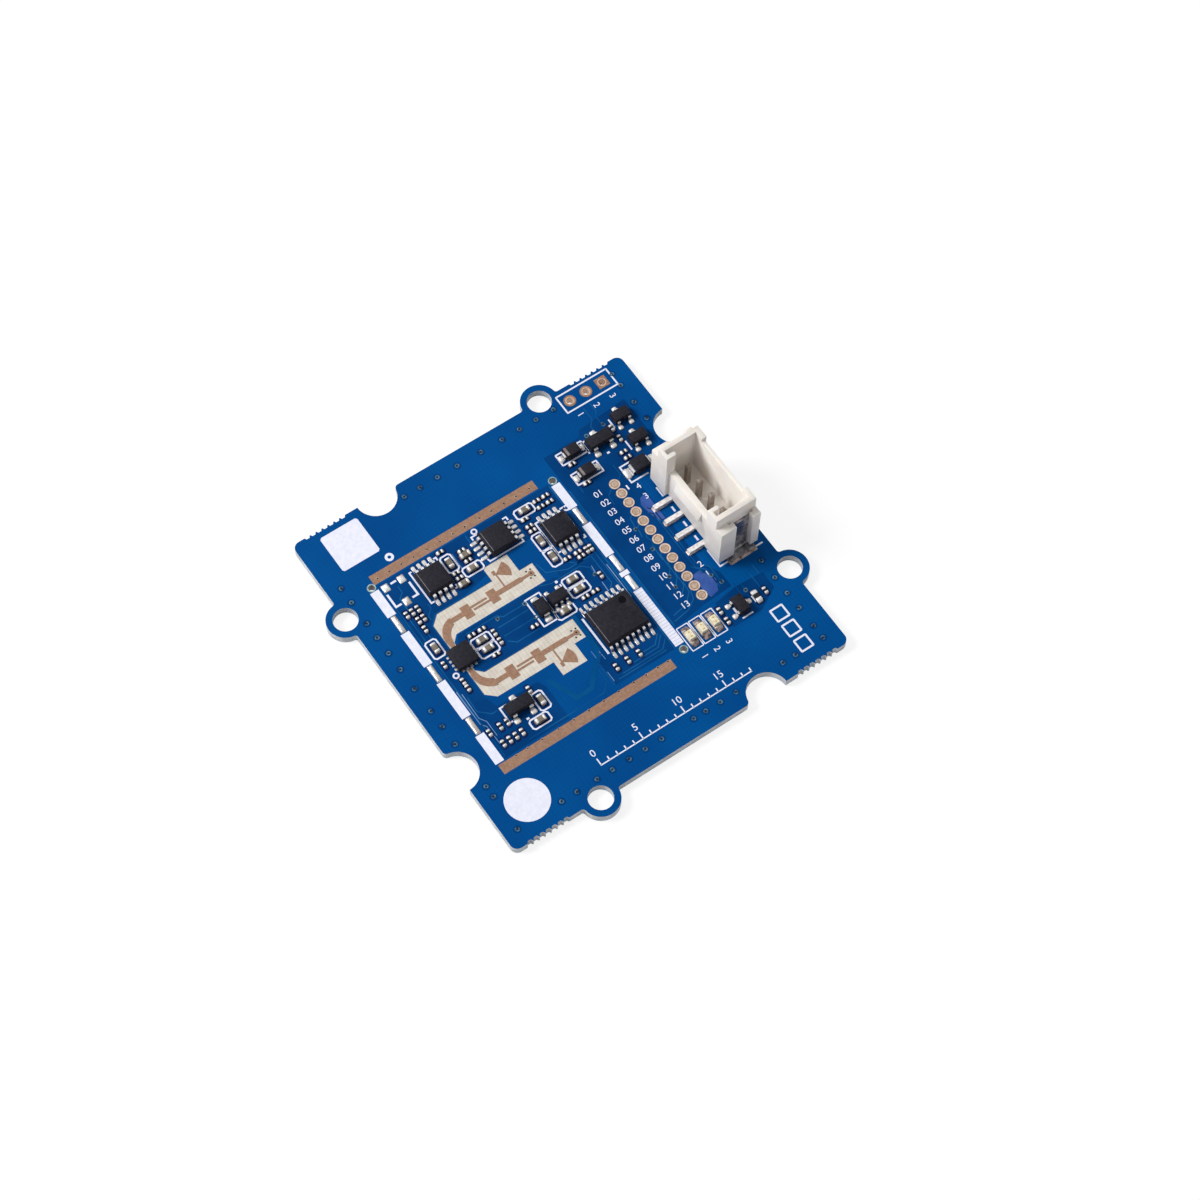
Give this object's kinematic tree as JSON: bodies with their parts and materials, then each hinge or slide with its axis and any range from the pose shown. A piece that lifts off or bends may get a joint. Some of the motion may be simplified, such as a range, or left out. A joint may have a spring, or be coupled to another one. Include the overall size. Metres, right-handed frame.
{
  "type": "radar motion sensor module",
  "caption": "Square circuit board with a microwave radar chip, its feed lines, amplifier and controller chips, mounting ears and notches, test pads and an upright cable connector.",
  "frame": {"origin": "middle of the board's back face", "axes": "+Z out of the component side, +X towards the side with the cable connector, +Y towards the side with the header holes"},
  "size_m": [0.044, 0.044, 0.009],
  "materials": {
    "solder_mask": "satin blue mask over glass-fibre laminate",
    "bare_copper": "bare copper with a dull finish",
    "solder": "bright tin",
    "white_print": "matt white print",
    "moulding": "matt black epoxy",
    "lead_frame": "tinned",
    "connector_plastic": "off-white nylon",
    "ceramic": "grey-brown ceramic",
    "resistor_glaze": "dark glaze over ceramic",
    "light_body": "pale laminate",
    "light_lens": "clear resin"
  },
  "bodies": {
    "root": {"bottom_ground_rail": "bare_copper", "capacitor_bodies": "ceramic", "capacitor_ends": "lead_frame", "circuit_board": "solder_mask", "connector_anchors": "lead_frame", "connector_contact_1": "lead_frame", "connector_contact_2": "lead_frame", "connector_contact_3": "lead_frame", "connector_contact_4": "lead_frame", "connector_housing": "connector_plastic", "controller_body": "moulding", "controller_leads": "lead_frame", "diode_1_body": "moulding", "diode_2_body": "moulding", "diode_3_body": "moulding", "diode_4_body": "moulding", "diode_leads": "lead_frame", "left_amplifier_body": "moulding", "left_amplifier_leads": "lead_frame", "lower_regulator_body": "moulding", "lower_regulator_leads": "lead_frame", "middle_amplifier_body": "moulding", "middle_amplifier_leads": "lead_frame", "radar_chip": "moulding", "radar_chip_pads": "solder", "receive_antenna": "bare_copper", "receive_feed_line": "bare_copper", "resistors": "resistor_glaze", "right_amplifier_body": "moulding", "right_amplifier_leads": "lead_frame", "shield_marking": "white_print", "shield_solder": "solder", "spare_solder_pads": "solder", "status_light_1_base": "light_body", "status_light_1_lens": "light_lens", "status_light_2_base": "light_body", "status_light_2_lens": "light_lens", "status_light_3_base": "light_body", "status_light_3_lens": "light_lens", "status_light_pads": "solder", "switch_chip_body": "moulding", "switch_chip_leads": "lead_frame", "test_pads": "bare_copper", "top_ground_rail": "bare_copper", "transistor_1_body": "moulding", "transistor_1_leads": "lead_frame", "transistor_2_body": "moulding", "transistor_2_leads": "lead_frame", "transistor_3_body": "moulding", "transistor_3_leads": "lead_frame", "transmit_antenna": "bare_copper", "transmit_feed_line": "bare_copper", "upper_regulator_body": "moulding", "upper_regulator_leads": "lead_frame"}
  },
  "joints": []
}
